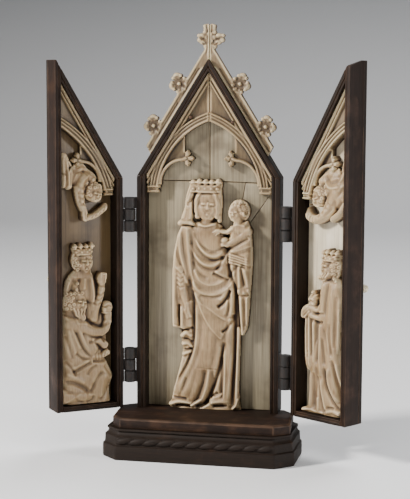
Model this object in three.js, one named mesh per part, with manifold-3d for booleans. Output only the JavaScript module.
// A small house-shaped triptych: a gabled wooden case and two hinged wings, all let in with carved ivory.
// Millimetres, +Z up, +Y away from the viewer, origin at the centre of the underside of the base.
import * as THREE from 'three';
import { mergeVertices } from 'three/addons/utils/BufferGeometryUtils.js';
import Module from 'manifold-3d';

const wasm = await Module();
wasm.setup();

// ---- driving dimensions ------------------------------------------------------------------------

const BASE = {
  halfWidth: 64.5, depth: 58, height: 27, chamfer: 11.4,
  slab: { halfWidth: 59.8, front: -22.4, back: 27.6, chamfer: 8.4, thickness: 6.9, wear: 0.9, skew: 1.5 },
};
const CASE = {
  front: 12, halfWidth: 48.5, eave: 158, apex: 236, stile: 5.5, rake: 4.2,
  frameDepth: 13, backBoard: 2.9, recess: 10, ground: 2.8,
};
const WING = {
  width: 47.7, eave: 157, apex: 236.5, foot: 0.4, stile: 4.3, rake: 4.2, bottomRail: 3.6,
  frameDepth: 13.6, backBoard: 3.2, recess: 11.2, ground: 2.2,
  wornTip: { left: 1.8, right: 5 },
};
const HINGE = {
  reach: 4.8, setOff: 0.4, barrel: 3.9, pin: 1.4, bore: 1.75, leaf: 0.55, leafDepth: 11,
  height: 23.6, play: 0.3, webFrom: 0.5, webTo: 3,
  left: { open: 142, heights: { upper: 132, lower: 29.5 } },
  right: { open: 146, heights: { upper: 128, lower: 29 } },
};
const CASE_ARCH = {
  halfSpan: 42.9, line: 0.2, centre: [-18, 145], inner: 53, outer: 58.6, spring: 152,
  cushion: 9, cusp: { centre: [17.5, 153], radius: 16.2 }, leaf: 4.6, moulding: 4.2,
  field: 4.8, full: 7.4, beadLow: 6.9, cuspBack: 3.4, cuspFront: 5.6,
};
const WING_ARCH = {
  halfSpan: 38.7, line: 0.2, centre: [-36.6, 131], inner: 70.5, outer: 76, spring: 150,
  cushion: 7, cusp: { centre: [16, 155], radius: 13 }, leaf: 4.4, moulding: 3.6,
  field: 5.2, full: 8.6, beadLow: 8, cuspBack: 3.7, cuspFront: 6.2,
};
const CREST = {
  setBack: 3, depth: 6.6, thickness: 6, foot: 16.5, crockets: [34, 67], standOff: 8.8, flower: 5.9,
  finial: 23.4, stem: 2.1,
};
const CABLE = { twists: 11, radius: 3.1, reach: 52.5, height: 12.7, inset: 3.4, lean: 0.55 };
const KNOB = { radius: 2.9, length: 8.5, fromEdge: 4.4, height: 88 };
const PIN = { radius: 1, length: 6, proud: 8.2, left: [-12.3, 197.5], right: [16.2, 194.5] };
const RIM = 1.6;     // lowest height of a carved edge over its ground
const GAP = 0.2;     // clearance between pieces that meet

// ---- materials ---------------------------------------------------------------------------------

const stuff = (color, roughness, metalness = 0) => new THREE.MeshStandardMaterial({ color, roughness, metalness });
const MATERIAL = {
  darkWood: stuff('#2b2421', 0.5),
  brownWood: stuff('#463428', 0.55),
  ivory: stuff('#c9b795', 0.45),
  groundIvory: stuff('#b3a78e', 0.5),
  iron: stuff('#2a2523', 0.5, 0.6),
  peg: stuff('#6a3b1e', 0.6),
  bone: stuff('#cdbb9c', 0.45),
};

// ---- small tools -------------------------------------------------------------------------------

const mix = (a, b, t) => a + (b - a) * t;
const between = (p, q, t) => [mix(p[0], q[0], t), mix(p[1], q[1], t)];
const clamp = (v, low, high) => Math.min(high, Math.max(low, v));

/** Turns the faces of a closed mesh outwards. */
function outward(geometry) {
  const p = geometry.attributes.position;
  const index = geometry.index.array;
  const [a, b, c] = [new THREE.Vector3(), new THREE.Vector3(), new THREE.Vector3()];
  let volume = 0;
  for (let i = 0; i < index.length; i += 3) {
    a.fromBufferAttribute(p, index[i]);
    b.fromBufferAttribute(p, index[i + 1]);
    c.fromBufferAttribute(p, index[i + 2]);
    volume += a.dot(b.cross(c));
  }
  if (volume < 0) {
    for (let i = 0; i < index.length; i += 3) {
      [index[i + 1], index[i + 2]] = [index[i + 2], index[i + 1]];
    }
  }
  return geometry;
}

/** Builds an indexed geometry from lists of vertices and triangles. */
function meshOf(vertices, triangles) {
  const geometry = new THREE.BufferGeometry();
  geometry.setAttribute('position', new THREE.Float32BufferAttribute(vertices.flat(), 3));
  geometry.setIndex(triangles.flat());
  return outward(geometry);
}

/** Keeps only positions and merges the corners that coincide. */
function merged(geometry) {
  const bare = geometry.index ? geometry.toNonIndexed() : geometry.clone();
  bare.deleteAttribute('normal');
  bare.deleteAttribute('uv');
  return outward(mergeVertices(bare, 1e-4));
}

/** Moves every vertex of a geometry by a function of its place. */
function mapped(geometry, place) {
  const p = geometry.attributes.position;
  for (let i = 0; i < p.count; i += 1) p.setXYZ(i, ...place(p.getX(i), p.getY(i), p.getZ(i)));
  return outward(geometry);
}

function solid(geometry) {
  const whole = merged(geometry);
  return new wasm.Manifold(new wasm.Mesh({
    numProp: 3,
    vertProperties: new Float32Array(whole.attributes.position.array),
    triVerts: new Uint32Array(whole.index.array),
  }));
}

function shapeOf(manifold) {
  const mesh = manifold.getMesh();
  const geometry = new THREE.BufferGeometry();
  geometry.setAttribute('position', new THREE.BufferAttribute(new Float32Array(mesh.vertProperties), 3));
  geometry.setIndex(new THREE.BufferAttribute(new Uint32Array(mesh.triVerts), 1));
  return geometry;
}

const joined = (geometries) => shapeOf(geometries.map(solid).reduce((whole, next) => whole.add(next)));

/** A flat plate: an outline in X and Z, run along Y from one depth to another. */
function plate(outline, from, to) {
  const shape = new THREE.Shape(outline.map(([x, z]) => new THREE.Vector2(x, z)));
  const geometry = new THREE.ExtrudeGeometry(shape, { depth: to - from, bevelEnabled: false });
  return merged(geometry.rotateX(Math.PI / 2).translate(0, to, 0));
}

const box = (x0, x1, y0, y1, z0, z1) => plate([[x0, z0], [x1, z0], [x1, z1], [x0, z1]], y0, y1);

/** An egg-shaped lump with few sides. */
function lump(x, y, z, rx, ry, rz, turn = 0) {
  const geometry = new THREE.SphereGeometry(1, 6, 3);
  return merged(geometry.scale(rx, ry, rz).rotateY(turn).translate(x, y, z));
}

const upright = (radius, z0, z1, sides = 8) => merged(
  new THREE.CylinderGeometry(radius, radius, z1 - z0, sides).rotateX(Math.PI / 2).translate(0, 0, (z0 + z1) / 2),
);

/** The points of an arc about a centre, from one angle to another. */
function arc([cx, cz], radius, from, to, steps) {
  return Array.from({ length: steps + 1 }, (_, i) => {
    const angle = mix(from, to, i / steps);
    return [cx + radius * Math.cos(angle), cz + radius * Math.sin(angle)];
  });
}

const model = new THREE.Group();

function add(group, name, geometry, material) {
  const mesh = new THREE.Mesh(geometry, material);
  mesh.name = name;
  group.add(mesh);
}

// ---- base --------------------------------------------------------------------------------------

/** The eight corners of a chamfered rectangle. */
function octagon(half, front, back, cut) {
  return [
    [-half + cut, front], [half - cut, front], [half, front + cut], [half, back - cut],
    [half - cut, back], [-half + cut, back], [-half, back - cut], [-half, front + cut],
  ];
}

/** Joins a stack of octagons, given as [height, corners], into one closed solid. */
function stacked(levels) {
  const sides = levels[0][1].length;
  const vertices = levels.flatMap(([z, corners]) => corners.map(([x, y]) => [x, y, z]));
  const triangles = [];
  for (let k = 0; k + 1 < levels.length; k += 1) {
    for (let i = 0; i < sides; i += 1) {
      const [a, b] = [k * sides + i, k * sides + ((i + 1) % sides)];
      triangles.push([a, b, b + sides], [a, b + sides, a + sides]);
    }
  }
  const top = (levels.length - 1) * sides;
  for (let i = 1; i + 1 < sides; i += 1) triangles.push([0, i + 1, i], [top, top + i, top + i + 1]);
  return meshOf(vertices, triangles);
}

/** The slab's outline: its ends have worn a little out of square. */
function slabOutline(inset) {
  const { halfWidth, front, back, chamfer, skew } = BASE.slab;
  const corners = octagon(halfWidth - inset, front + inset, back - inset, chamfer);
  return corners.map(([x, y]) => [Math.abs(x) > halfWidth - 2 ? x - skew * Math.sign(y) : x, y]);
}

/** The base outline between the slab's edge (0) and the plinth's face (1). */
function plinthOutline(spread) {
  const { halfWidth, depth, chamfer, slab } = BASE;
  return octagon(
    mix(slab.halfWidth, halfWidth, spread),
    mix(slab.front, -depth / 2, spread),
    mix(slab.back, depth / 2, spread),
    mix(slab.chamfer, chamfer, spread),
  );
}

/** A roll of slanting twists, run along X. */
function cableRoll() {
  const { twists, radius, reach, lean } = CABLE;
  const [steps, sides] = [twists * 3, 6];
  const vertices = [];
  const triangles = [];
  for (let i = 0; i <= steps; i += 1) {
    const along = mix(-reach, reach, i / steps);
    for (let k = 0; k < sides; k += 1) {
      const around = (k / sides) * 2 * Math.PI;
      const swell = Math.abs(Math.cos(Math.PI * (twists * i / steps) - lean * around));
      const r = radius * (0.72 + 0.28 * Math.sqrt(swell));
      vertices.push([along, r * Math.cos(around), r * Math.sin(around)]);
    }
  }
  for (let i = 0; i < steps; i += 1) {
    for (let k = 0; k < sides; k += 1) {
      const [a, b] = [i * sides + k, i * sides + ((k + 1) % sides)];
      triangles.push([a, b, b + sides], [a, b + sides, a + sides]);
    }
  }
  const last = steps * sides;
  for (let k = 1; k + 1 < sides; k += 1) triangles.push([0, k + 1, k], [last, last + k, last + k + 1]);
  return meshOf(vertices, triangles);
}

function buildBase() {
  const seat = BASE.height - BASE.slab.thickness;
  const levels = [
    [0, 0.9], [1.3, 1], [9.4, 1], [10, 0.84], [15.2, 0.74], [16, 0.5], [17.4, 0.3], [18.5, 0.26], [18.6, 0.42], [seat, 0.42],
  ];
  const plinth = stacked(levels.map(([z, spread]) => [z, plinthOutline(spread)]));
  const cable = cableRoll().translate(0, -BASE.depth / 2 + CABLE.inset, CABLE.height);
  add(model, 'base_plinth', joined([plinth, cable]), MATERIAL.darkWood);
  const { wear } = BASE.slab;
  const slab = stacked([
    [seat, slabOutline(0)], [BASE.height - wear, slabOutline(0)], [BASE.height, slabOutline(wear)],
  ]);
  add(model, 'base_slab', slab, MATERIAL.brownWood);
}

// ---- wooden frames -----------------------------------------------------------------------------

const MOULDING = { step: 0.9, strips: [[0, 0.56, 0], [0.7, 1, 0.35]] };

/**
 * A rail with a moulded front. `quad` is outer start, outer end, inner end, inner start; `depth` turns a
 * distance behind the front into a Y.
 */
function mouldedRail([outerA, outerB, innerB, innerA], thickness, depth) {
  const strip = (from, to) => [
    between(outerA, innerA, from), between(outerB, innerB, from),
    between(outerB, innerB, to), between(outerA, innerA, to),
  ];
  const bar = (outline, near, far) => plate(outline, Math.min(depth(near), depth(far)), Math.max(depth(near), depth(far)));
  const parts = [bar(strip(0, 1), MOULDING.step, thickness)];
  for (const [from, to, back] of MOULDING.strips) parts.push(bar(strip(from, to), back, MOULDING.step + 1));
  return joined(parts);
}

/** The inner line of a sloping rail, as a function that gives its height at a distance from the foot. */
function innerSlope(run, eave, apex, width) {
  const slope = (apex - eave) / run;
  const drop = width * Math.hypot(1, slope);
  return (x) => eave - drop + slope * x;
}

function buildCaseFrame() {
  const { front, halfWidth, eave, apex, stile, rake, frameDepth, backBoard } = CASE;
  const floor = BASE.height;
  const under = innerSlope(halfWidth, eave, apex, rake);
  const depth = (d) => front + d;
  for (const [side, sign] of [['left', -1], ['right', 1]]) {
    const at = (fromEdge, z) => [sign * (halfWidth - fromEdge), floor + z];
    const stileQuad = [at(0, 0), at(0, eave - GAP), at(stile, under(stile) - GAP), at(stile, 0)];
    const line = halfWidth - GAP / 2;
    const rakeQuad = [at(0, eave), at(line, eave + (apex - eave) * line / halfWidth), at(line, under(line)), at(stile, under(stile))];
    add(model, `case_stile_${side}`, mouldedRail(stileQuad, frameDepth, depth), MATERIAL.darkWood);
    add(model, `case_rake_${side}`, mouldedRail(rakeQuad, frameDepth, depth), MATERIAL.darkWood);
  }
  const outline = [[-halfWidth, 0], [halfWidth, 0], [halfWidth, eave], [0, apex], [-halfWidth, eave]];
  const board = plate(outline.map(([x, z]) => [x, floor + z]), front + frameDepth + GAP / 2, front + frameDepth + backBoard + GAP / 2);
  add(model, 'case_back_board', board, MATERIAL.darkWood);
}

// ---- carved reliefs ----------------------------------------------------------------------------
// A relief is worked out as a depth map over [x, z]. Each form answers how far inside it a point lies
// (positive is inside) and how high its surface stands there; forms meet softly, folds add or cut.

const dome = (inside) => Math.sqrt(1 - (1 - clamp(inside, 0, 1)) ** 2);

/** An egg-shaped form. */
const egg = (x, z, rx, rz, top, base = RIM, turn = 0) => (px, pz) => {
  const [dx, dz] = [px - x, pz - z];
  const a = (dx * Math.cos(turn) + dz * Math.sin(turn)) / rx;
  const b = (dz * Math.cos(turn) - dx * Math.sin(turn)) / rz;
  const inside = 1 - Math.hypot(a, b);
  return [inside, base + (top - base) * dome(inside)];
};

/** A limb or roll that follows a path of [x, z, radius]. */
const limb = (path, top, base = RIM) => (px, pz) => {
  let inside = -Infinity;
  for (let i = 0; i + 1 < path.length; i += 1) {
    const [ax, az, ar] = path[i];
    const [bx, bz, br] = path[i + 1];
    const [ex, ez] = [bx - ax, bz - az];
    const t = clamp(((px - ax) * ex + (pz - az) * ez) / (ex * ex + ez * ez), 0, 1);
    const far = Math.hypot(px - ax - ex * t, pz - az - ez * t);
    inside = Math.max(inside, 1 - far / mix(ar, br, t));
  }
  return [inside, base + (top - base) * dome(inside)];
};

/** A draped body, given by stations of [z, left, right, top] from the highest to the lowest. */
const body = (stations, base = RIM, fullness = 0.55) => (px, pz) => {
  const first = stations[0];
  const last = stations[stations.length - 1];
  let k = 0;
  while (k < stations.length - 2 && pz < stations[k + 1][0]) k += 1;
  const [up, down] = [stations[k], stations[k + 1]];
  const t = clamp((up[0] - pz) / (up[0] - down[0]), 0, 1);
  const [left, right, top] = [1, 2, 3].map((i) => mix(up[i], down[i], t));
  const half = (right - left) / 2;
  const inside = Math.min((half - Math.abs(px - (left + right) / 2)) / (half * fullness), (first[0] - pz) / 3, (pz - last[0]) / 1.5);
  return [inside, base + (top - base) * dome(Math.min(inside, (pz - last[0]) * 9))];
};

/** The distance to a smooth curve through a few points, and how far along it that is. */
function stroke(points) {
  const curve = new THREE.CatmullRomCurve3(points.map(([x, z]) => new THREE.Vector3(x, z, 0)));
  const trace = curve.getPoints(points.length * 4);
  return (px, pz) => {
    let [best, at] = [Infinity, 0];
    trace.forEach((p, i) => {
      const far = Math.hypot(px - p.x, pz - p.y);
      if (far < best) [best, at] = [far, i / (trace.length - 1)];
    });
    return [best, at];
  };
}

/** A fold along a stroke: raised where `rise` is positive, cut where it is negative. */
function fold(points, width, rise) {
  const nearest = stroke(points);
  return (px, pz) => {
    const [far, at] = nearest(px, pz);
    return rise * Math.exp(-((far / width) ** 2)) * Math.sqrt(Math.sin(Math.PI * clamp(at, 0.04, 0.96)));
  };
}

/** Forms joined by a soft maximum, with folds on top. */
function carving(forms, folds, limit, ceiling = () => Infinity, fence = () => Infinity) {
  const softness = 0.8;
  return (x, z) => {
    let inside = -Infinity;
    let height = RIM;
    for (const form of forms) {
      const [within, top] = form(x, z);
      inside = Math.max(inside, within);
      if (within > 0) {
        const near = Math.max(softness - Math.abs(height - top), 0) / softness;
        height = Math.max(height, top) + near * near * softness / 4;
      }
    }
    for (const add1 of folds) height += add1(x, z) * clamp(inside * 3, 0, 1);
    return [Math.min(inside, fence(x, z)), Math.min(clamp(height, RIM, limit), ceiling(x, z))];
  };
}

/** Meshes a carving: a front that follows the depth map, walls at its outline and a flat back. */
function reliefMesh(surface, [x0, x1, z0, z1], [cellX, cellZ], place) {
  const [nx, nz] = [Math.round((x1 - x0) / cellX), Math.round((z1 - z0) / cellZ)];
  const vertices = [];
  const known = new Map();
  const nodes = [];
  for (let j = 0; j <= nz; j += 1) {
    for (let i = 0; i <= nx; i += 1) {
      const [x, z] = [mix(x0, x1, i / nx), mix(z0, z1, j / nz)];
      const [inside, height] = surface(x, z);
      const border = i === 0 || i === nx || j === 0 || j === nz;
      nodes.push([x, z, border ? Math.min(inside, -0.05) : inside, height]);
    }
  }
  const vertex = (key, make) => {
    if (!known.has(key)) {
      known.set(key, vertices.length);
      vertices.push(make());
    }
    return known.get(key);
  };
  const node = (a) => vertex(a, () => [nodes[a][0], nodes[a][3], nodes[a][1]]);
  const crossing = (a, b) => vertex(a < b ? `${a}_${b}` : `${b}_${a}`, () => {
    const [p, q] = a < b ? [nodes[a], nodes[b]] : [nodes[b], nodes[a]];
    const t = clamp(p[2] / (p[2] - q[2]), 0.15, 0.85);
    const height = Math.max(RIM, (p[2] > 0 ? p[3] : q[3]) * 0.5);
    return [mix(p[0], q[0], t), height, mix(p[1], q[1], t)];
  });
  const triangles = [];
  const next = new Map();
  const clip = (corners) => {
    const ring = [];
    corners.forEach((a, i) => {
      const b = corners[(i + 1) % 3];
      if (nodes[a][2] > 0) ring.push([node(a), false]);
      if ((nodes[a][2] > 0) !== (nodes[b][2] > 0)) ring.push([crossing(a, b), nodes[a][2] > 0]);
    });
    for (let i = 1; i + 1 < ring.length; i += 1) triangles.push([ring[0][0], ring[i][0], ring[i + 1][0]]);
    ring.forEach(([v, leaving], i) => {
      if (leaving) next.set(v, ring[(i + 1) % ring.length][0]);
    });
  };
  for (let j = 0; j < nz; j += 1) {
    for (let i = 0; i < nx; i += 1) {
      const a = j * (nx + 1) + i;
      const [b, c, d] = [a + 1, a + nx + 2, a + nx + 1];
      clip([a, b, c]);
      clip([a, c, d]);
    }
  }
  closeBack(vertices, triangles, next);
  const geometry = merged(meshOf(vertices, triangles));
  return mapped(geometry, place);
}

/** Adds the walls and the flat back under the outline loops of a relief. */
function closeBack(vertices, triangles, next) {
  const loops = [];
  const left = new Set(next.keys());
  while (left.size) {
    const loop = [];
    let v = left.values().next().value;
    while (left.delete(v)) {
      loop.push(v);
      v = next.get(v);
    }
    loops.push(loop);
  }
  const area = (loop) => THREE.ShapeUtils.area(loop.map((v) => new THREE.Vector2(vertices[v][0], vertices[v][2])));
  loops.sort((a, b) => Math.abs(area(b)) - Math.abs(area(a)));
  const low = new Map();
  for (const v of loops.flat()) {
    low.set(v, vertices.length);
    vertices.push([vertices[v][0], 0, vertices[v][2]]);
  }
  for (const [a, b] of next) triangles.push([b, a, low.get(a)], [b, low.get(a), low.get(b)]);
  const flat = (loop) => loop.map((v) => new THREE.Vector2(vertices[v][0], vertices[v][2]));
  const order = loops.flat();
  const [outline, ...holes] = loops;
  for (const [a, b, c] of THREE.ShapeUtils.triangulateShape(flat(outline), holes.map(flat))) {
    triangles.push([low.get(order[a]), low.get(order[c]), low.get(order[b])]);
  }
}

/** A crown seen from the front: a band with leaves on top. */
function crown(x, z, half, top) {
  const leaves = [-0.86, -0.43, 0, 0.43, 0.86].map((t) => egg(x + t * half, z + 5.6, half * 0.2, 1.7, top - 0.4 - t * t));
  return [body([[z + 6, x - half * 1.08, x + half * 1.08, top], [z, x - half, x + half, top - 0.3]], RIM, 0.8), ...leaves];
}

// ---- the Virgin and Child ----------------------------------------------------------------------

function virginForms() {
  const gown = body([
    [128, -7, 5, 5.6], [124, -17, 10, 6.4], [118, -20.5, 13, 7], [104, -23.5, 14, 7.4], [90, -24.5, 18, 7.6],
    [75, -24.5, 21, 7.8], [58, -23.5, 22, 7.8], [49, -19.5, 21.5, 7.6], [37, -18, 21, 7.4], [25, -21, 21, 7.4],
    [12, -24.5, 21.5, 7.2], [3, -26, 22, 7], [0, -26.5, 22.5, 6.4],
  ]);
  const mantle = body([[96, -9, 14, 8], [86, -10, 20, 8.6], [70, -8, 19, 8.8], [58, 0, 17.5, 8.6], [49, 7.5, 11, 8.4]], 7.2, 0.4);
  const veil = [
    limb([[-7, 149, 4.5], [-11.5, 140, 4], [-14.5, 131, 4.5], [-18, 124, 4.5]], 7.2),
    limb([[5.5, 148, 3], [8, 139, 2.2], [7.6, 129, 2.4]], 6.6),
  ];
  const head = [egg(-1.5, 140, 9.8, 12.6, 5.4), egg(-1.2, 139, 6.9, 9.4, 8.9, 5), limb([[-1.5, 131, 4.4], [-1.5, 125, 5]], 6.4)];
  const arm = limb([[-20.5, 96, 3.4], [-18.5, 84, 3], [-15.5, 74, 2.8], [-13.5, 67, 2]], 8.8, 5);
  const hem = limb([[-22, 58, 2.6], [-15, 56, 4.6], [-13.5, 44, 3.6]], 8.2, 4);
  return [gown, mantle, ...veil, ...head, arm, hem, ...crown(-2.2, 150.6, 10.8, 8.3)];
}

function childForms() {
  const trunk = body([
    [129, 18, 26.5, 7], [123, 15, 29, 8.6], [114, 13.5, 29.8, 9], [104, 13, 30.2, 9.2], [97, 14, 29.8, 9], [86, 16, 29.4, 8.4],
    [74, 19, 28.8, 7.4], [60, 21, 27.6, 6.6], [52, 22.6, 25.6, 6],
  ]);
  const hand = [0, 1, 2, 3].map((i) => limb([[15, 107 - i * 1.7, 1.1], [27.5, 103.6 - i * 1.9, 1]], 9.5, 6));
  return [
    trunk, egg(21.3, 135.6, 7.4, 7.6, 9, 4),
    limb([[26, 124, 3.2], [20, 117.5, 2.6], [13, 113.5, 2.2]], 9.5, 6),
    egg(11.4, 115.4, 2.7, 2.7, 9.2, 5),
    limb([[17, 124, 2], [12, 120.5, 1.6], [6, 121.5, 1.5]], 8.6, 5),
    ...hand,
  ];
}

function virginFolds() {
  const chest = [0, 1, 2].flatMap((i) => {
    const [drop, wide] = [i * 4.6, 9.4 + i * 0.5];
    const line = [[-wide, 121 - drop * 2.1], [-5.5, 111 - drop * 1.5], [0.5, 106 - drop * 1.05], [7, 106.5 - drop], [11, 111 - drop]];
    return [fold(line, 1.2, 0.9), fold(line.map(([x, z]) => [x, z - 2.2]), 1, -0.9)];
  });
  const shoulder = [0, 1, 2].map((i) => fold([[-19 + i * 2, 121], [-18.5 + i * 3.2, 104], [-13 + i * 2.6, 88], [-7 + i * 2, 78]], 1, i % 2 ? 0.9 : -1.1));
  const apron = [
    fold([[-9, 88], [-4, 80.5], [4, 79], [11, 82], [16, 88]], 1.3, 1),
    fold([[-9, 80], [-3, 72.5], [6, 66.5], [13, 62.5], [17, 63]], 1.3, 0.9),
    fold([[14.5, 82], [11, 75.5], [7, 71.5]], 1, -1.8),
    fold([[17.5, 63], [13, 57], [9.8, 53.4]], 1, -1.4),
  ];
  const skirt = [
    fold([[-9.6, 78], [-9.8, 55], [-12, 38], [-17, 26], [-23, 15]], 1.1, -1.6),
    fold([[-0.6, 28], [-4.4, 14], [-9, 4]], 1.4, -1.4),
    fold([[1.6, 29], [-1.6, 14], [-6, 4]], 1.6, 0.9),
    fold([[10.6, 48], [8.6, 30], [4.4, 13], [-1, 4]], 1.4, -2.2),
    fold([[14.6, 58], [13.4, 38], [13, 20], [12.8, 6]], 1.9, 1),
    fold([[18.4, 64], [18.4, 40], [17, 20], [15.6, 5]], 1.1, -2.2),
    fold([[-24, 7.4], [-15, 7]], 1, -1.2),
    fold([[1, 5], [6, 9], [9, 14]], 1, 1.1),
  ];
  const cascade = [
    fold([[20.2, 100], [19, 88], [19.6, 70]], 1, -1.6), fold([[21.6, 98], [24.6, 84], [25.4, 60]], 1.2, 1),
    fold([[14, 111], [20, 113], [29, 116.5]], 0.9, -1), fold([[12, 92], [16, 98], [20, 101]], 1, -1.3),
  ];
  return [...chest, ...shoulder, ...apron, ...skirt, ...cascade];
}

// ---- the kings and the angels ------------------------------------------------------------------
// These are laid out from the hinge edge of the wing, so the left and the right wing read alike.

function magiSurface() {
  const back = [
    body([[94, 21.5, 34, 6], [90, 18, 39, 7], [80, 14, 40, 7.4], [66, 12, 40, 7.4], [50, 9.5, 36, 7], [36, 9, 30, 6.4]]),
    egg(26.4, 101.4, 6.6, 7.8, 9), ...crown(27, 106.6, 8.2, 9),
    limb([[15, 94, 1.8], [15.4, 88, 2.8], [14, 76, 2.6], [12.6, 66, 2.4]], 9.4, 3),
  ];
  const front = [
    body([
      [65, 27, 40.5, 8], [60, 23, 42.2, 9], [50, 20, 42.6, 9.4], [40, 14, 42.8, 9.6], [30, 9, 42.8, 9.6], [21.5, 4.8, 42.8, 9.4],
      [14, 7, 42.8, 9.2], [7, 7, 42.8, 9], [3.4, 5.4, 42.8, 8.8],
    ]),
    egg(34, 73.6, 8.2, 8.6, 10, 4), limb([[31, 69, 4.6], [28.4, 64, 3]], 9.8, 5),
    limb([[36, 57, 5.6], [25, 52.5, 4.4], [15.5, 53.5, 3], [10.6, 61, 2.6]], 10.2, 5),
    egg(10.8, 69, 4.2, 4.8, 9.8, 5), limb([[10.5, 36, 3.2], [22.5, 36, 3.2]], 10, 6),
    limb([[27, 9, 4.4], [40, 9.6, 5.4]], 10.2, 6),
  ];
  const folds = [
    fold([[32.5, 61], [28, 50], [21.5, 39]], 1.3, 1), fold([[35.5, 60], [31, 48], [24, 37.5]], 1, -1.3),
    fold([[22, 35], [30, 31], [36, 27]], 1.2, -1.2), fold([[14, 26], [20, 19], [23, 11]], 1.2, -1.4),
    fold([[7, 30], [12, 20], [19, 7]], 1.4, 0.9), fold([[20, 90], [19.5, 72], [19, 60]], 1.1, -1.1),
    fold([[26, 78], [25, 68], [24, 60]], 1.1, 0.8),
  ];
  return carving([...back, ...front], folds, 10.6);
}

function magusSurface() {
  const forms = [
    body([
      [95, 24, 34, 6.6], [91, 21, 39, 8], [80, 19, 40.5, 9], [68, 18.5, 39, 9.4], [54, 18, 38.6, 9.2], [42, 18, 39, 9], [30, 16, 40, 9],
      [18, 13.5, 41.5, 8.8], [7, 11, 42.4, 8.6], [3.4, 8, 42.6, 8],
    ]),
    egg(30, 102.6, 7.8, 8, 9.8, 3), limb([[23.6, 99, 2.8], [22.4, 94.6, 2]], 8.8, 3), ...crown(30, 107.6, 8, 9.6),
    limb([[33, 84, 5], [23, 75, 4], [12, 73.6, 3]], 10.4, 5), egg(16.5, 79.6, 4.2, 3.8, 9.6, 4),
    body([[75, 9, 20, 9.4], [60, 9.6, 21, 9], [45, 10, 21.6, 8.6], [35, 10.4, 21, 8.2], [31.6, 15, 20, 7.6]]),
  ];
  const folds = [
    fold([[29, 92], [28, 78], [27.6, 60], [27.6, 30]], 1.6, 0.8), fold([[21.6, 66], [21.4, 48], [22, 30], [25.6, 10]], 1.1, -1.4),
    fold([[34, 60], [33, 42], [36, 26], [41, 14]], 1.3, -1.2), fold([[29.6, 34], [32, 22], [40.6, 10]], 1.2, -1.6),
    fold([[15.4, 68], [15.6, 50], [15.4, 38]], 1, -1.2), fold([[12, 70], [12.2, 50], [12.6, 36]], 1, 0.8),
    fold([[17.6, 30], [17.6, 14], [16, 6]], 1.2, -1.2),
  ];
  return carving(forms, folds, 10.6);
}

/** How far a point on a wing lies inside the opening under the half arch. */
const underArch = (u, z) => {
  const [cx, cz] = [WING.width - WING.stile - WING_ARCH.centre[0], WING_ARCH.centre[1]];
  return (WING_ARCH.inner - 0.5 - Math.hypot(u - cx, z - cz)) / 3;
};

/** Keeps a relief below the cusp and its leaf. */
const underCusp = (u, z) => {
  const { centre, radius } = WING_ARCH.cusp;
  const [cx, cz] = [WING.width - WING.stile - centre[0], centre[1]];
  const beyond = Math.hypot(u - cx, z - cz) > radius - 2.2 && z > cz - 6 && u < cx + 9.5;
  return beyond ? WING_ARCH.cuspBack - 0.4 : Infinity;
};

function leftAngelSurface() {
  const forms = [
    egg(18.8, 148, 6.6, 6.8, 9.8, 3), egg(29, 157, 7, 7, 8.6, 3),
    limb([[28, 156, 5], [28.6, 145, 3.6], [26, 134, 2.4]], 9.6, 4), limb([[26.4, 133, 2.4], [25.4, 129.6, 2.2]], 9.4, 4),
    limb([[25, 129.6, 2], [17, 132.6, 2.2], [10.6, 138, 2.2], [8.4, 135, 1.6]], 9, 4),
    limb([[31, 160, 6], [37.6, 160, 5], [39.4, 172, 3.2]], 6.4), limb([[37, 160, 3.6], [36.6, 151.6, 3]], 7.6),
    limb([[20, 155.6, 4], [27, 160, 5]], 7),
  ];
  const folds = [
    fold([[33, 166], [35, 158], [35.6, 151]], 0.9, -0.9), fold([[37, 168], [38.6, 160], [38, 153]], 0.9, -0.9),
    fold([[25.6, 157], [25.4, 146], [24.4, 136]], 0.9, -0.8),
  ];
  return carving(forms, folds, 10.4, underCusp, underArch);
}

function rightAngelSurface() {
  const forms = [
    egg(20, 148, 6.8, 6.8, 9.8, 3), egg(32, 155, 9.4, 9.4, 8.4, 3), egg(36, 145, 6, 8, 8, 3),
    limb([[34, 148, 5], [27, 136.6, 4.2], [16, 132.4, 3.2], [10.4, 136, 2.8], [9.6, 143, 2.4]], 9.8, 4),
    limb([[40, 143, 2.6], [33, 134.4, 2.8]], 8.4, 4), limb([[37.6, 158, 4.6], [39.6, 170, 2.8]], 6.2),
    limb([[20, 156.6, 4], [28, 161, 5]], 7),
  ];
  const folds = [
    fold([[38, 166], [33, 158], [27, 152]], 0.9, -0.9), fold([[40, 158], [35, 150], [29, 141]], 0.9, -0.9),
    fold([[30, 146], [22, 137], [13, 136]], 0.8, -0.8),
  ];
  return carving(forms, folds, 10.4, underCusp, underArch);
}

// ---- tracery -----------------------------------------------------------------------------------
// Half of a gable's tracery lies in [w, h, z]: w from the centre line outwards, h up from the ground.

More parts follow.
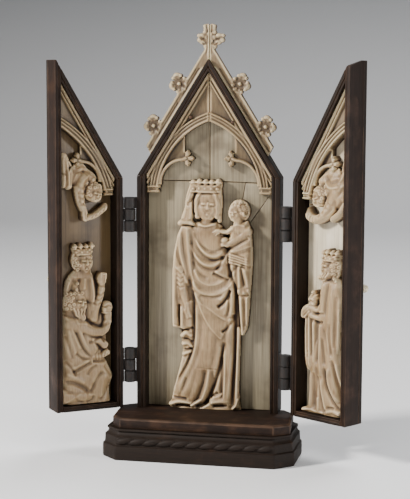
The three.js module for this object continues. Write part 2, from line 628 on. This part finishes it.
function traceryHalf(dims, slope, place) {
  const { halfSpan, line, centre, inner, outer, spring, cushion, cusp, leaf, moulding, field, full, beadLow } = dims;
  const clear = GAP * 1.5;
  const steps = 4;
  const band = (from, to, low, high) => {
    const start = (r) => Math.asin((spring - centre[1]) / r);
    const end = (r) => Math.acos((line - centre[0]) / r);
    return plate([...arc(centre, to, start(to), end(to), steps), ...arc(centre, from, end(from), start(from), steps)], low, high);
  };
  const reach = halfSpan - clear;
  const rakeStrip = (from, to, low, high) => {
    const [upper, lower] = [slope(reach) - clear - from, slope(reach) - clear - to];
    const rise = slope(line) - slope(reach);
    return plate([[reach, upper], [line, upper + rise], [line, lower + rise], [reach, lower]], low, high);
  };
  const tall = moulding / Math.cos(Math.atan2(slope(0) - slope(reach), reach));
  const bound = arc(centre, inner, Math.asin((spring - centre[1]) / inner), Math.acos((line - centre[0]) / inner), steps);
  const web = [[reach, spring], [reach, slope(reach) - clear - 0.3], [line, slope(line) - clear - 0.3], ...bound.reverse()];
  const parts = [
    plate(web, 0, field),
    rakeStrip(0.2, tall * 0.42, field - 1, full), rakeStrip(tall * 0.7, tall, field - 1, beadLow),
    band(outer - 1.7, outer, field - 1, full), band(inner, outer - 1, field - 1, field + 1.2), band(inner, inner + 1.5, field - 1, beadLow),
  ];
  for (const [shift, drop, rise, high] of [[0, 0.4, 2, full + 0.2], [1.3, 2, 3.4, full - 1], [0.5, 3.4, 5, full - 0.4]]) {
    parts.push(plate([[reach - cushion + shift, spring - rise], [reach, spring - rise], [reach, spring - drop + 0.6], [reach - cushion + shift, spring - drop + 0.6]], 0, high));
  }
  const turn = (angle) => angle * Math.PI / 180;
  const outerCusp = arc(cusp.centre, cusp.radius + 0.9, turn(-4), turn(92), steps);
  const innerCusp = arc(cusp.centre, cusp.radius - 0.9, turn(92), turn(-4), steps);
  parts.push(plate([...outerCusp, ...innerCusp], dims.cuspBack, dims.cuspFront));
  const webTop = arc(centre, inner + 1, Math.asin((spring + 4 - centre[1]) / inner), Math.acos((cusp.centre[0] + 4 - centre[0]) / inner), 5);
  parts.push(plate([...webTop, ...arc(cusp.centre, cusp.radius, turn(75), turn(4), 6)], dims.cuspBack, dims.cuspBack + 1));
  const [lx, lz] = [cusp.centre[0] - 1.6, cusp.centre[1] + cusp.radius + 1];
  const middle = (dims.cuspBack + dims.cuspFront) / 2;
  for (const angle of [100, 185, 265]) {
    const [dx, dz] = [Math.cos(turn(angle)), Math.sin(turn(angle))];
    parts.push(lump(lx + dx * leaf * 0.5, middle + 0.4, lz + dz * leaf * 0.5, leaf * 0.62, 1.5, leaf * 0.4, -turn(angle)));
  }
  parts.push(lump(lx + 1.2, middle + 0.6, lz - 0.6, leaf * 0.5, 1.6, leaf * 0.5));
  return mapped(joined(parts), place);
}

// ---- ivory in the case -------------------------------------------------------------------------

const caseFace = (sign) => (a, h, z) => [sign * a, CASE.front + CASE.recess - GAP - h, BASE.height + z];

function buildGrounds() {
  const under = innerSlope(CASE.halfWidth, CASE.eave, CASE.apex, CASE.rake);
  const edge = CASE.halfWidth - CASE.stile - GAP;
  const [level, split, seam] = [154.8, -0.5, 0.15];
  const gable = (x) => under(CASE.halfWidth - Math.abs(x)) - 2 * GAP;
  const [meet, foot] = [[17.6, 113.6], 0.3];
  const plaques = {
    ground_upper_left: [[-edge, level + seam], [split - seam, level + seam], [split - seam, gable(split)], [-edge, gable(edge)]],
    ground_upper_right: [
      [split + seam, level + seam], [edge, level + seam - 1], [edge, gable(edge)], [0, gable(0)], [split + seam, gable(split)],
    ],
    ground_main: [[-edge, foot], [meet[0] - seam, foot], [meet[0] - seam, meet[1]], [23.8 - seam, level - seam - 0.6], [-edge, level - seam]],
    ground_corner: [[meet[0] + seam, meet[1] + 1], [edge, 149.4], [edge, level - seam - 1.2], [23.8 + seam, level - seam - 0.8]],
    ground_right: [[meet[0] + seam, foot], [edge, foot], [edge, 149.4 - 2 * seam], [meet[0] + seam, meet[1] - seam]],
  };
  const front = CASE.front + CASE.recess;
  for (const [name, outline] of Object.entries(plaques)) {
    add(model, name, plate(outline.map(([x, z]) => [x, BASE.height + z]), front, front + CASE.ground), MATERIAL.groundIvory);
  }
}

function buildCaseIvory() {
  buildGrounds();
  const under = innerSlope(CASE.halfWidth, CASE.eave, CASE.apex, CASE.rake);
  const slope = (w) => under(CASE.halfWidth - w);
  for (const [side, sign] of [['left', -1], ['right', 1]]) {
    const half = solid(traceryHalf(CASE_ARCH, slope, caseFace(sign)));
    const [x, z] = PIN[side];
    const middle = CASE.front + CASE.recess - GAP - PIN.proud + PIN.length / 2;
    const peg = (radius) => merged(
      new THREE.CylinderGeometry(radius, radius, PIN.length, 8).translate(x, middle, BASE.height + z),
    );
    add(model, `tracery_${side}`, shapeOf(half.subtract(solid(peg(PIN.radius + GAP)))), MATERIAL.ivory);
    add(model, `tracery_pin_${side}`, peg(PIN.radius), MATERIAL.peg);
  }
  const figure = carving([...virginForms(), ...childForms()], virginFolds(), 9.6);
  add(model, 'virgin_and_child', reliefMesh(figure, [-28, 32, -0.2, 160], [3, 4.8], caseFace(1)), MATERIAL.ivory);
}

// ---- crocketed strips --------------------------------------------------------------------------

/** A four-petalled flower with a boss, standing on the strip. */
function crocket([x, z], middle, lean) {
  const { flower } = CREST;
  const parts = [lump(x, middle - 1.4, z, 2, 2.2, 2)];
  for (let k = 0; k < 4; k += 1) {
    const angle = lean + k * Math.PI / 2;
    const [dx, dz] = [Math.cos(angle), Math.sin(angle)];
    const reach = flower * (0.54 + 0.12 * dz * dz);
    parts.push(lump(x + dx * reach, middle, z + dz * reach, flower * 0.54, 2, flower * 0.45, -angle));
  }
  return parts;
}

function buildCrest(side, sign) {
  const { halfWidth, eave, apex, front } = CASE;
  const run = Math.hypot(halfWidth, apex - eave);
  const along = [halfWidth / run, (apex - eave) / run];
  const out = [-along[1], along[0]];
  const at = (s, off) => [-halfWidth + along[0] * s + out[0] * off, BASE.height + eave + along[1] * s + out[1] * off];
  const line = -GAP / 2;
  const meets = (off) => (halfWidth + line - out[0] * off) / along[0];
  const { foot, thickness, setBack, depth, stem, finial } = CREST;
  const [y0, y1] = [front + setBack, front + setBack + depth];
  const strip = (from, to, near) => plate([at(foot, from), at(meets(from), from), at(meets(to), to), at(foot + 2, to)], near, y1);
  const parts = [strip(GAP, thickness, y0 + 1), strip(GAP, 1.6, y0), strip(thickness - 1.8, thickness, y0)];
  const middle = (y0 + y1) / 2;
  for (const s of CREST.crockets) {
    parts.push(plate([at(s - 6, thickness - 1), at(s + 1, thickness - 1), at(s + 1, CREST.standOff)], middle - 1.5, middle + 1.5));
    parts.push(...crocket(at(s, CREST.standOff), middle, Math.PI / 2));
  }
  const top = BASE.height + apex;
  parts.push(plate([[line, top + 4], [line, top + finial - 3], [line - stem * 0.7, top + finial - 3], [line - stem, top + 4]], middle - 2, middle + 2));
  const half = (geometry) => shapeOf(solid(geometry).subtract(solid(box(line, 40, y0 - 9, y1 + 9, top - 5, top + 60))));
  parts.push(half(lump(-3.4, middle, top + 13.6, 3, 2, 1.9, 0.5)), half(lump(-5, middle, top + 15.2, 1.5, 1.7, 1.5)));
  parts.push(half(lump(-1.2, middle, top + finial - 3, 2, 1.8, 3, 0.3)));
  const geometry = joined(parts);
  add(model, `crest_${side}`, mapped(geometry, (x, y, z) => [sign * -x, y, z]), MATERIAL.ivory);
}

// ---- hinges ------------------------------------------------------------------------------------

/** One half of a hinge about the Z axis; `toward` points at the piece it is screwed to. */
function hingeHalf(middle, toward, backward, knuckles, bored) {
  const { reach, barrel, pin, bore, leaf, leafDepth, height, play, webFrom, webTo } = HINGE;
  const third = height / 3;
  const x = (v) => toward * v;
  const y = (v) => backward * v;
  const slab = (x0, x1, y0, y1, z0, z1) => box(
    Math.min(x(x0), x(x1)), Math.max(x(x0), x(x1)), Math.min(y(y0), y(y1)), Math.max(y(y0), y(y1)), z0, z1,
  );
  const bottom = middle - height / 2;
  const parts = [slab(reach - leaf - 0.05, reach - 0.05, webFrom, leafDepth, bottom, bottom + height)];
  for (const k of knuckles) {
    const [z0, z1] = [bottom + k * third + play / 2, bottom + (k + 1) * third - play / 2];
    parts.push(upright(barrel, z0, z1), slab(0, reach - 0.2, webFrom, webTo, z0, z1));
  }
  if (!bored) parts.push(upright(pin, bottom + 1, bottom + height - 1, 6));
  const whole = solid(joined(parts));
  return shapeOf(bored ? whole.subtract(solid(upright(bore, bottom - 1, bottom + height + 1, 6))) : whole);
}

function buildHinges(side, sign, wing) {
  const axis = [sign * (CASE.halfWidth + HINGE.reach), CASE.front - HINGE.setOff, BASE.height];
  for (const [level, middle] of Object.entries(HINGE[side].heights)) {
    const fixed = hingeHalf(middle, -sign, 1, [0, 2], false).translate(...axis);
    add(model, `hinge_${side}_${level}_case_half`, fixed, MATERIAL.iron);
    add(wing, `hinge_${side}_${level}_wing_half`, hingeHalf(middle, -sign, -1, [1], true), MATERIAL.iron);
  }
}

// ---- wings -------------------------------------------------------------------------------------
// A wing is built shut, about its hinge axis, and then swung open. u runs from the hinge edge to the
// free edge and v from the inner face to the outer one.

function buildWing(side, sign) {
  const wing = new THREE.Group();
  wing.position.set(sign * (CASE.halfWidth + HINGE.reach), CASE.front - HINGE.setOff, BASE.height);
  wing.rotation.z = THREE.MathUtils.degToRad(sign * HINGE[side].open);
  model.add(wing);

  const { width, eave, apex, foot, stile, rake, bottomRail, frameDepth, backBoard, recess, ground } = WING;
  const x = (u) => -sign * (HINGE.reach + u);
  const depth = (v) => -(HINGE.setOff + v);
  const at = (u, z) => [x(u), z];
  const outer = (u) => eave + (apex - eave) * u / width;
  const under = innerSlope(width, eave, apex, rake);
  const name = (piece) => `${side}_wing_${piece}`;
  const joint = GAP;

  const inner = width - stile;
  const thickness = frameDepth + backBoard;
  const wear = solid(tipWear(x(width - 6), x(width + 1), depth, thickness, WING.wornTip[side]));
  const trimmed = (geometry) => shapeOf(solid(geometry).subtract(wear));
  const quads = {
    hinge_stile: [at(0, foot), at(0, eave - joint), at(stile, under(stile) - joint), at(stile, foot)],
    rake: [at(0, eave), at(inner - joint, outer(inner - joint)), at(inner - joint, under(inner - joint)), at(stile, under(stile))],
    bottom_rail: [at(stile + joint, foot), at(inner - joint, foot), at(inner - joint, foot + bottomRail), at(stile + joint, foot + bottomRail)],
  };
  for (const [piece, quad] of Object.entries(quads)) {
    add(wing, name(piece), mouldedRail(quad, frameDepth, depth), MATERIAL.darkWood);
  }
  const freeQuad = [at(width, foot), at(width, apex), at(inner, outer(inner)), at(inner, foot)];
  add(wing, name('free_stile'), trimmed(mouldedRail(freeQuad, frameDepth, depth)), MATERIAL.brownWood);
  const boardOutline = [at(0, foot), at(width, foot), at(width, apex), at(0, eave)];
  const board = plate(boardOutline, depth(thickness + GAP / 2), depth(frameDepth + GAP / 2));
  add(wing, name('back_board'), trimmed(board), MATERIAL.darkWood);

  const low = foot + bottomRail + joint;
  const groundOutline = [at(stile + joint, low), at(inner - joint, low), at(inner - joint, under(inner) - 3 * joint), at(stile + joint, under(stile) - 3 * joint)];
  add(wing, name('ground'), plate(groundOutline, depth(recess + ground), depth(recess)), MATERIAL.groundIvory);

  const face = (u, h, z) => [x(u), depth(recess - GAP) + h, z];
  const fromFree = (w, h, z) => face(inner - w, h, z);
  const slope = (w) => under(inner - w);
  add(wing, name('arch'), traceryHalf(WING_ARCH, slope, fromFree), MATERIAL.ivory);
  const angel = side === 'left' ? leftAngelSurface() : rightAngelSurface();
  add(wing, name('angel'), reliefMesh(angel, [6, inner - 0.4, 125, 177], [3.4, 3.8], face), MATERIAL.ivory);
  const [figures, top] = side === 'left' ? [magiSurface(), 117] : [magusSurface(), 117];
  const title = side === 'left' ? 'magi' : 'magus';
  add(wing, name(title), reliefMesh(figures, [stile + 0.4, inner - 0.4, low + 0.2, top], [3.4, 4.9], face), MATERIAL.ivory);
  add(wing, name('knob'), knob(x(width - KNOB.fromEdge), depth(thickness + GAP)), MATERIAL.bone);
  buildHinges(side, sign, wing);
}

/** The wedge lost from the tip of a wing, deepest at its inner face. */
function tipWear(x0, x1, depth, thickness, drop) {
  const { apex } = WING;
  const behind = thickness + 1;
  const line = [[-1, apex - drop * (1 + 1 / thickness)], [behind, apex + drop / thickness], [behind, apex + 9], [-1, apex + 9]];
  const wedge = (place) => line.map(([v, z]) => [place, depth(v), z]);
  const corners = [...wedge(Math.min(x0, x1)), ...wedge(Math.max(x0, x1))];
  const sides = [0, 1, 2, 3].flatMap((i) => {
    const next = (i + 1) % 4;
    return [[i, next, next + 4], [i, next + 4, i + 4]];
  });
  return meshOf(corners, [...sides, [0, 2, 1], [0, 3, 2], [4, 5, 6], [4, 6, 7]]);
}

/** A small turned knob that stands off the outer face of a wing, along -Y. */
function knob(x, y) {
  const { radius, length, height } = KNOB;
  const profile = [[0, 0], [1.9, 0], [1.5, 1.6], [1.1, 3], [1.7, 4.2], [radius, 5.8], [radius * 0.8, 7.4], [0, length]];
  const points = profile.map(([r, along]) => new THREE.Vector2(r, along));
  return mapped(merged(new THREE.LatheGeometry(points, 8)), (px, py, pz) => [x + px, y - py, height + pz]);
}

// ---- assembly ----------------------------------------------------------------------------------

buildBase();
buildCaseFrame();
buildCaseIvory();
for (const [side, sign] of [['left', -1], ['right', 1]]) {
  buildCrest(side, sign);
  buildWing(side, sign);
}

export default model;
